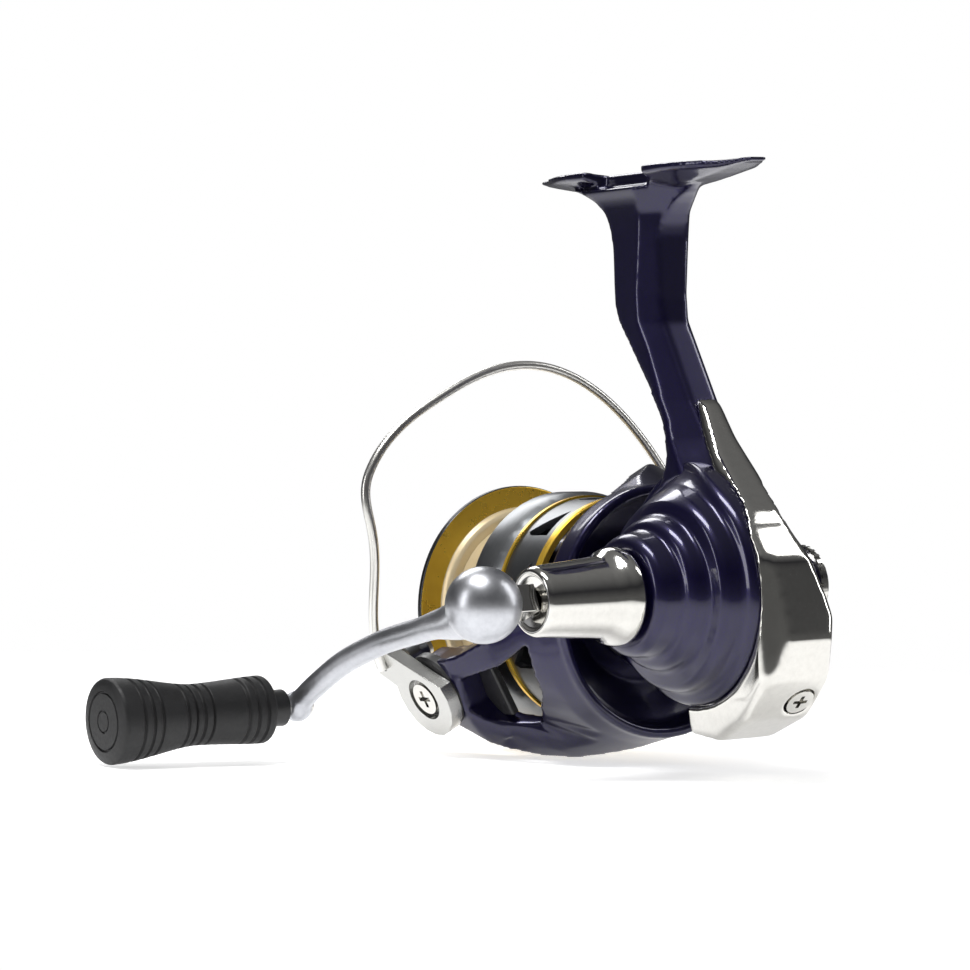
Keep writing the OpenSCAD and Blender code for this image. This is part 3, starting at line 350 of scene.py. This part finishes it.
def thin_foot(bm):
    """The foot runs out thin at both tips: the underside rises toward the seat."""
    cut_depth, foot_depth = 6, 5      # how deep under the top the mesh is made finer, and how deep it is moved
    thick, taper, loss = 9, 20, 0.72  # half of the full-thickness middle, length of each taper, share that is lost
    bmesh.ops.triangulate(bm, faces=bm.faces)
    lowest, shortest = (FOOT_TOP - cut_depth) * MM, 2 * MM
    cuts = [e for e in bm.edges if max(v.co.z for v in e.verts) > lowest and e.calc_length() > shortest]
    bmesh.ops.subdivide_edges(bm, edges=cuts, cuts=3, use_grid_fill=True)
    for v in bm.verts:
        x, z = v.co.x / MM, v.co.z / MM
        if z > FOOT_TOP - foot_depth:
            far = min(1.0, max(0.0, (abs(x - FOOT_MID) - thick) / taper))
            v.co.z = (FOOT_TOP - (FOOT_TOP - z) * (1 - loss * far ** 1.5)) * MM


melt(cast("housing", "frame_casting", "navy", "frame", "navy_paint", bevel=0, shape=thin_foot), 0.42, 9)
rear = cast("rear_cover", "rear_shell", "chrome", "frame", "bright_chrome", bevel=0, flat=1.0)
melt(rear, 0.4, 24)
swell = rear.modifiers.new("swell", "DISPLACE")
swell.strength = 0.1 * MM
swell.mid_level = 0

boss = soften([
    (4.1, 0.5), (4.1, 19.5), (10.2, 19.6), (11.3, 18.9), (11.9, 17.3), (14.6, 16.8), (15.6, 16.1), (16.0, 13.4),
    (18.3, 12.9), (19.2, 12.2), (19.7, 10.8), (23.2, 10.4), (24.3, 9.3), (24.38, 3.8)
], 0.9, 6)
side_plate = turned("side_plate", boss, (0, 1, 0), CRANK, "navy", "frame", "navy_paint", "side_cover", steps=128,
                    sharp=40)
# The cover's rim is drawn out into a low ridge that runs up toward the stem.
RIDGE = Vector((10, 0, 24)).normalized()
RIM, GROWTH, FLATTER, SUNK = 15.5, 0.17, 0.75, 5.0
for v in side_plate.data.vertices:
    out = v.co / MM - CRANK
    out.y = 0
    if out.length > RIM:
        pull = max(0.0, out.normalized().dot(RIDGE)) ** 6 * min(1.0, (out.length - RIM) / 3)
        v.co.x += out.x * GROWTH * pull * MM
        v.co.z += out.z * GROWTH * pull * MM
        v.co.y += (SUNK * MM - v.co.y) * FLATTER * pull


# ---------------------------------------------------------------- crank
sleeve = soften([
    (24.9, 3), (24.9, 7.6), (25.3, 8.35), (26.6, 8.45), (27.6, 8.2), (28.6, 7.5), (29.9, 7.0), (32.5, 6.75),
    (41.3, 6.05), (42.6, 5.9), (43.2, 5.45), (43.28, 4.9), (42.8, 4.5), (42.5, 2.6), (42.5, 2.2)
], 0.5)
turned("sleeve", sleeve, (0, 1, 0), CRANK, "chrome", "handle", "bright_chrome", "crank_sleeve", steps=96, sharp=35)
cast("crank_shaft", "neck", "chrome", "handle", "steel", sharp=30, bevel=0.3)

FALL = math.radians(20.6)           # how far the crank arm points down at rest
DOWN = Vector((math.cos(FALL), 0, -math.sin(FALL)))
RISE = Vector((math.sin(FALL), 0, math.cos(FALL)))
BALL = CRANK + Vector((0, 52.7, 0))
REACH = 51                          # from the crank's axis to the knob's


def crank_arm():
    """One smooth forging: a ball that flares into an S-shaped bar, with a small ball at the knob."""
    bm = bmesh.new()
    line = [(3.6, 0, 0.0), (8.5, 0.3, 0.3), (14, 0.5, 1.5), (19.7, 0.6, 2.4), (25, 1.0, 3.3), (30, 1.9, 3.8),
            (37.8, 4.2, 3.5), (44.8, 6.3, 1.9), (50.4, 7.4, 0.4)]
    steps, flare_end = 56, 0.34     # the flare at the ball ends at this share of the bar's length
    path = smooth_path([BALL + DOWN * u + Vector((0, v, 0)) + RISE * w for u, v, w in line], steps)
    radii = []
    for i in range(steps + 1):
        u = i / steps
        flare = max(0.0, 1 - u / flare_end) ** 1.8
        thick = 2.35 - 0.35 * u
        radii.append((thick * (1 + flare * 0.92), thick * (1 + flare)))
    swept(bm, path, radii, up=RISE, sides=32)
    balls = bmesh.new()
    for centre, r, n in ((BALL, 6.46, 48), (BALL + DOWN * REACH + Vector((0, 7.5, 0)), 2.75, 32)):
        bmesh.ops.create_uvsphere(balls, u_segments=n, v_segments=n // 2, radius=r * MM,
                                  matrix=Matrix.Translation(centre * MM))
    mesh = bpy.data.meshes.new("balls")
    balls.to_mesh(mesh)
    balls.free()
    bm.from_mesh(mesh)
    obj = piece("crank_bar", bm, "alloy", "crank", "satin_alloy", "crank_arm", sharp=50)
    melt(obj, 0.42, 5, 0.5)


crank_arm()


def knob():
    """Moulded rubber grip with cut rings and a ringed end."""
    place = Vector((CRANK_X + REACH * math.cos(FALL), 67.2, CRANK_RISE + DROP - REACH * math.sin(FALL)))
    span, waist, waist_at = 31.4, 5.3, 0.45     # length, slimmest radius, and the share of the length where it is
    grooves = {2.1: 0.34, 3.9: 0.34, 5.7: 0.34, 12.6: 0.3, 14.3: 0.3, 16.0: 0.3, 17.7: 0.3,
               23.2: 0.34, 25.1: 0.34, 27.0: 0.34}  # each ring's place: half of its width
    groove_depth, steps = 0.42, 260
    outer = []
    for i in range(steps + 1):
        a = 0.35 + (span - 0.9) * i / steps     # place along the grip
        t = a / span
        if t < waist_at:
            r = waist + 0.6 * math.cos(math.pi * t / 0.9) ** 2
        else:
            r = waist + 2.1 * math.sin(math.pi / 2 * (t - waist_at) / 0.55) ** 1.6
        r -= 0.55 * max(0.0, 1 - a / 0.9) ** 2 + 0.9 * max(0.0, 1 - (span - a) / 1.3) ** 2
        for centre, half in grooves.items():
            r -= groove_depth * max(0.0, 1 - (abs(a - centre) / half) ** 2)
        outer.append((a, r))
    end = [(span - 0.22, 5.9), (span - 0.1, 5.2), (span - 0.45, 5.05), (span - 0.45, 4.85), (span - 0.1, 4.7),
           (span - 0.04, 2.0), (span - 0.3, 1.9), (span - 0.3, 1.75), (span - 0.04, 1.65), (span - 0.04, 0)]
    turned("grip", [(0.3, 2.3)] + outer + end, (0, 1, 0), place, "rubber", "knob", "black_rubber",
           "knob_grip", "knob_cap", steps=72, sharp=40)


knob()


# ---------------------------------------------------------------- bail
PIVOT = 31                          # how far along the arm the bail's pivots are


def bail_wire():
    """The bright round wire, from the plate by the roller over to the far lever."""
    bm = bmesh.new()
    lean = math.radians(84.5)
    half_span, depth, squareness, wire_r, steps = 34.3, 45, 0.74, 0.85, 120
    path = []
    for i in range(steps + 1):
        f = math.radians(4 + 172 * (0.5 - 0.5 * math.cos(math.pi * i / steps)))
        c, s = math.cos(f), math.sin(f)
        across = half_span * math.copysign(abs(c) ** squareness, c)
        deep = depth * s ** squareness
        if c > 0.5:  # the side by the roller leans in
            across -= 3.6 * math.sin(f * 3) ** 2
        ahead = 7.5 * max(0.0, c) ** 12  # and its end runs forward to the roller
        path.append(on_arm(PIVOT + deep * math.cos(lean) + ahead, across + 0.04 * deep, deep * math.sin(lean)))
    swept(bm, path, [(wire_r, wire_r)] * len(path), up=(1, 0.1, 0.05), sides=18)
    piece("bail_hoop", bm, "steel", "bail", "steel", "bail_wire", sharp=60)


bail_wire()


def broad_plate(bm):
    """Broadens the plate round its pivot, away from the roller's end."""
    growth, full, fade = 0.24, 6.4, 5     # how much broader, out to which radius, and how fast that dies away
    for v in bm.verts:
        x, y, z = off_arm(v.co)
        far = math.hypot(x - PIVOT, z)
        grow = 1 + growth * max(0.0, 1 - max(0.0, far - full) / fade)
        v.co = on_arm(PIVOT + (x - PIVOT) * grow, y, z * grow) * MM


cast("bail_arm", "bail_plate", "plate", "bail", "bright_chrome", sharp=25, bevel=0.5, shape=broad_plate)
cast("bail_lever", "far_lever", "chrome", "bail", "bright_chrome", sharp=25, bevel=0.4)


# ---------------------------------------------------------------- rotor
# Corners of the lower edge of an arm's window along the arm's own x and z, each as (where it is, where it goes).
WINDOW = [((24.2, -3.6), (24.2, -3.6)), ((21.5, -8.8), (22.6, -6.2)), ((15, -14), (19.5, -8.6)),
          ((7, -15.5), (15.5, -10.5)), ((5.8, -4), (8.6, -3)), ((7, 6.5), (7, 6.5))]


def small_windows(bm):
    """Draws the lower edge of both arm windows up, so the lower strut is the broad one. No point changes its radius."""
    spans = [(Vector(a), Vector(b), Vector(c), Vector(d)) for (a, c), (b, d) in zip(WINDOW, WINDOW[1:])]
    arm_from, near, slack = 15, 0.3, 0.02
    for v in bm.verts:
        for side in (1, -1):
            x, y, z = off_arm(v.co, side)
            here = Vector((x, z))
            for a, b, c, d in spans if y > arm_from else []:
                t = (here - a).dot(b - a) / (b - a).length_squared
                if -slack <= t <= 1 + slack and (here - a.lerp(b, t)).length < near:
                    reach = math.hypot(y, z)
                    x, z = c.lerp(d, t)
                    v.co = on_arm(x, math.sqrt(reach ** 2 - z ** 2), z, side) * MM
                    break


melt(cast("rotor", "rotor_casting", "navy", "rotor", "navy_paint", bevel=0, flat=1.0, shape=small_windows), 0.42, 7)


def window_panels():
    """Black moulded panels inside the arms and a black collar behind each lever."""
    for side, name in ((1, "near"), (-1, "far")):
        bm = bmesh.new()
        rim = [(18.5, -7.6), (24.5, -7.5), (26, -3.5), (24.5, 3), (19, 3.6)]
        inside, thick = 23.9, 1.6
        face = bm.faces.new([bm.verts.new(on_arm(x, inside, z, side) * MM) for x, z in rim])
        grown = bmesh.ops.extrude_face_region(bm, geom=[face])["geom"]
        lift = on_arm(0, thick, 0, side) - on_arm(0, 0, 0, side)
        bmesh.ops.translate(bm, verts=[g for g in grown if isinstance(g, bmesh.types.BMVert)], vec=lift * MM)
        piece("arm_panel_" + name, bm, "black", "rotor", "black_plastic", bevel=0.4)
        out = on_arm(0, 1, 0, side) - on_arm(0, 0, 0, side)
        collar = [(28.6, 5.2), (28.6, 6.6), (29.1, 7.1), (30.7, 7.1), (31.12, 6.7), (31.12, 5.2)]
        turned("arm_collar_" + name, collar, out, on_arm(PIVOT, 0, 0, side), "black", "rotor", "black_plastic",
               steps=64, sharp=40, closed=True)


window_panels()


# ---------------------------------------------------------------- spool
ARBOR_X, ARBOR_R = (29.2, 41.2), (15, 16.6)     # the pale part that the line is wound on
spool_body = cast("spool", "spool_body", ["grey", "ivory"], "spool", "grey_metal", sharp=26, bevel=0.12)
for f in spool_body.data.polygons:
    c = f.center / MM
    if ARBOR_X[0] < c.x < ARBOR_X[1] and ARBOR_R[0] < math.hypot(c.y, c.z - DROP) < ARBOR_R[1]:
        f.material_index = 1
# The front lip: gold, with a dark outer rim and a pale slope on the arbor's side.
lip = soften([
    (41.05, 11.6), (41.05, 17.4), (41.5, 18.1), (42.3, 18.4), (42.9, 21.6), (43.0, 22.3), (43.4, 22.48),
    (44.1, 22.46), (44.55, 21.9), (44.3, 19), (43.8, 15.5), (43.8, 11.6)
], 0.3)
turned("spool_flange", lip, (1, 0, 0), AXIS, ["gold", "dark", "ivory"], "spool", "gold_alloy", "spool_lip",
       steps=128, sharp=35, closed=True, bands=[(43.05, 45, 20.5, 23, 1), (41, 43, 11, 18.6, 2)])
cast("drag_knob", "drag_dial", "black", "drag_knob", "black_plastic", sharp=30, bevel=0.35)


# ---------------------------------------------------------------- stage
def area(name, place, aim, size, power):
    """A soft rectangular lamp of that size in metres, turned toward aim."""
    data = bpy.data.lights.new(name, "AREA")
    data.shape = "RECTANGLE"
    data.size, data.size_y = size
    data.energy = power
    lamp = bpy.data.objects.new(name, data)
    bpy.context.scene.collection.objects.link(lamp)
    lamp.location = Vector(place)
    lamp.rotation_euler = (Vector(aim) - Vector(place)).to_track_quat("-Z", "Y").to_euler()


def pale_floor():
    """A pale floor through the three points that the reel lies on, glowing a little and fading out with distance."""
    ends = [Vector(p) * MM for p in ((18, 4, -103.7), (26, 95, -98.6), (-28, -2, -105.5))]
    up = (ends[1] - ends[0]).cross(ends[2] - ends[0]).normalized()
    up = up if up.z > 0 else -up
    bm = bmesh.new()
    bmesh.ops.create_grid(bm, x_segments=1, y_segments=1, size=6.0)
    mesh = bpy.data.meshes.new("floor")
    bm.to_mesh(mesh)
    bm.free()
    floor = bpy.data.objects.new("floor", mesh)
    bpy.context.scene.collection.objects.link(floor)
    floor.matrix_world = Matrix.Translation(ends[0]) @ up.to_track_quat("Z", "Y").to_matrix().to_4x4()
    g = Graph("floor_paper")
    soft = g.noise(6.0, 4.0, 0.6)
    away = (g.axis(0).pow(2) + g.axis(1).pow(2)).pow(0.5)
    g.set(Base_Color=g.mix(soft, rgb(0.93, 0.93, 0.93), rgb(0.95, 0.95, 0.95)), Roughness=0.75 + soft * 0.1)
    g.set(Alpha=away.ramp(0.12, 0.34, 1.0, 0.0), Emission_Color=rgb(1, 1, 1), Emission_Strength=0.62)
    mesh.materials.append(g.mat)


def room():
    """A room that is plain white to look at and mostly dark in reflections, with a paler band above and below."""
    world = bpy.data.worlds.new("room")
    bpy.context.scene.world = world
    world.use_nodes = True
    tree = world.node_tree
    white = tree.nodes["Background"]
    white.inputs[0].default_value = rgb(1, 1, 1)
    white.inputs[1].default_value = 1.0
    kinds = ("Background", "TexCoord", "SeparateXYZ", "ValToRGB", "LightPath", "MixShader")
    dim, coord, split, ramp, path, pick = (tree.nodes.new("ShaderNode" + kind) for kind in kinds)
    stops = ramp.color_ramp.elements
    stops.new(0.35)
    tones = ((0.0, rgb(0.12, 0.12, 0.12)), (0.35, rgb(0.03, 0.03, 0.034)), (0.9, rgb(0.22, 0.22, 0.22)))
    for stop, (place, tone) in zip(stops, tones):
        stop.position = place
        stop.color = tone
    for start, end in ((coord.outputs["Generated"], split.inputs[0]), (split.outputs["Z"], ramp.inputs[0]),
                       (ramp.outputs[0], dim.inputs[0]), (path.outputs["Is Camera Ray"], pick.inputs[0]),
                       (dim.outputs[0], pick.inputs[1]), (white.outputs[0], pick.inputs[2]),
                       (pick.outputs[0], tree.nodes["World Output"].inputs[0])):
        tree.links.new(start, end)


def lamps():
    """A broad lamp overhead, a tall narrow one on each side and one over the front."""
    area("top", (-0.05, 0.25, 0.85), (0, 0, -0.06), (0.5, 0.25), 7)
    area("left", (-0.35, -0.75, 0.3), (0, 0, -0.06), (0.12, 0.8), 2.2)
    area("right", (0.1, 0.95, 0.25), (0, 0, -0.06), (0.16, 0.7), 2.2)
    area("back", (0.8, -0.2, 0.6), (0, 0, -0.05), (0.5, 0.3), 3)


def camera():
    """A long lens that looks at the reel from behind and to the crank's side."""
    data = bpy.data.cameras.new("camera")
    data.sensor_width = 36
    data.lens = 149.3
    data.clip_start, data.clip_end = 0.01, 50
    cam = bpy.data.objects.new("camera", data)
    bpy.context.scene.collection.objects.link(cam)
    right = Vector((-0.563, -0.826, -0.036)).normalized()
    ahead = Vector((0.827, -0.563, -0.014)).normalized()
    up = right.cross(ahead).normalized()
    ahead = up.cross(right)
    rot = Matrix((right, up, -ahead)).transposed()
    cam.matrix_world = Matrix.Translation(Vector((-0.5708, 0.4252, -0.0437))) @ rot.to_4x4()
    bpy.context.scene.camera = cam


pale_floor()
room()
lamps()
camera()
bpy.context.scene.view_settings.view_transform = "Standard"
